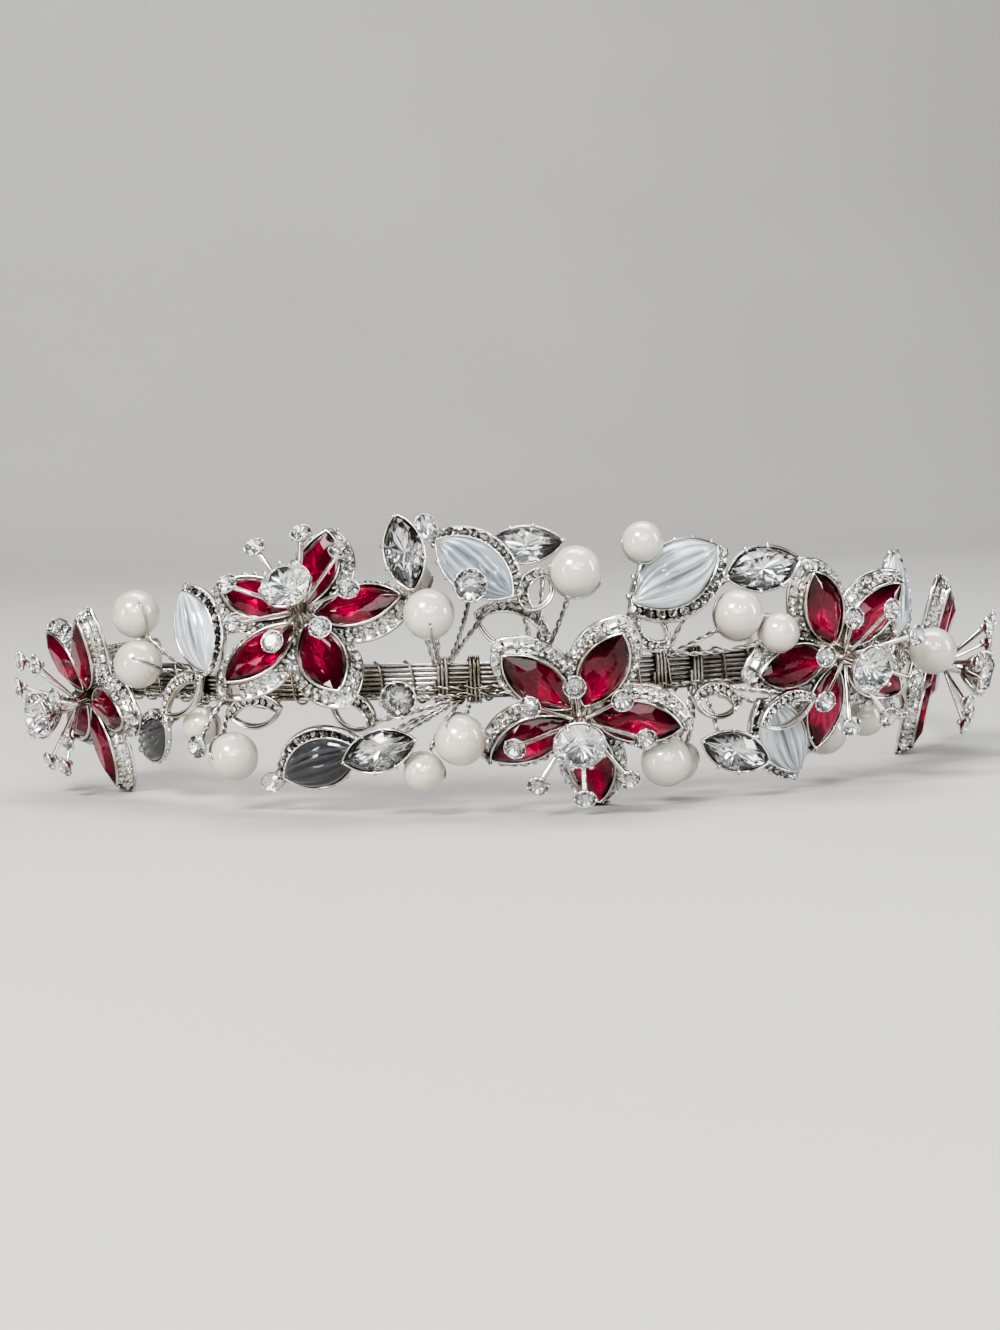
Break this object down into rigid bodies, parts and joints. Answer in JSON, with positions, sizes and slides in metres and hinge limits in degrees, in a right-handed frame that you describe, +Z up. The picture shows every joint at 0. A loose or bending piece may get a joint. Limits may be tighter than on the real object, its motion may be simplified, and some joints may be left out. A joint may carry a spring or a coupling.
{
  "type": "jewelled tiara",
  "caption": "Arched hair band of parallel silver wires with red-petalled flowers, pearls, satin leaves and clear crystals, lying as it rests on a table",
  "frame": {"origin": "middle of the bounding box's base, on the surface that the tiara lies on", "axes": "+X across the arch to the viewer's right, +Y from the jewelled front towards the ends of the two arms, +Z up as the tiara lies, nearly square to the plane of its arch"},
  "size_m": [0.176, 0.162, 0.0473],
  "materials": {
    "band_wire": "bright silver-coloured wire, slightly warm in the grooves",
    "silver": "bright silver plate with clear crystals and satin glass leaves set in it",
    "red_stone": "polished, faceted, ruby red",
    "pearl": "warm white pearl lustre"
  },
  "bodies": {
    "root": {"band": "band_wire", "flower_1": "silver", "flower_2": "silver", "flower_3": "silver", "flower_4": "silver", "flower_5": "silver", "spray_left_upper": "silver", "spray_left_lower": "silver", "spray_middle_left_upper": "silver", "spray_middle_left_lower": "silver", "spray_middle_upper": "silver", "spray_middle_right_upper": "silver", "spray_right_upper": "silver", "spray_middle_right_lower": "silver", "spray_right_lower": "silver", "spray_far_right": "silver", "flower_1_red_stone_1": "red_stone", "flower_1_red_stone_2": "red_stone", "flower_1_red_stone_3": "red_stone", "flower_1_red_stone_4": "red_stone", "flower_1_red_stone_5": "red_stone", "flower_2_red_stone_1": "red_stone", "flower_2_red_stone_2": "red_stone", "flower_2_red_stone_3": "red_stone", "flower_2_red_stone_4": "red_stone", "flower_2_red_stone_5": "red_stone", "flower_3_red_stone_1": "red_stone", "flower_3_red_stone_2": "red_stone", "flower_3_red_stone_3": "red_stone", "flower_3_red_stone_4": "red_stone", "flower_3_red_stone_5": "red_stone", "flower_4_red_stone_1": "red_stone", "flower_4_red_stone_2": "red_stone", "flower_4_red_stone_3": "red_stone", "flower_4_red_stone_4": "red_stone", "flower_4_red_stone_5": "red_stone", "flower_5_red_stone_1": "red_stone", "flower_5_red_stone_2": "red_stone", "flower_5_red_stone_3": "red_stone", "flower_5_red_stone_4": "red_stone", "flower_5_red_stone_5": "red_stone", "pearl_1": "pearl", "pearl_2": "pearl", "pearl_3": "pearl", "pearl_4": "pearl", "pearl_5": "pearl", "pearl_6": "pearl", "pearl_7": "pearl", "pearl_8": "pearl", "pearl_9": "pearl", "pearl_10": "pearl", "pearl_11": "pearl", "pearl_12": "pearl", "pearl_13": "pearl", "pearl_14": "pearl", "pearl_15": "pearl", "pearl_16": "pearl", "pearl_17": "pearl"}
  },
  "joints": []
}
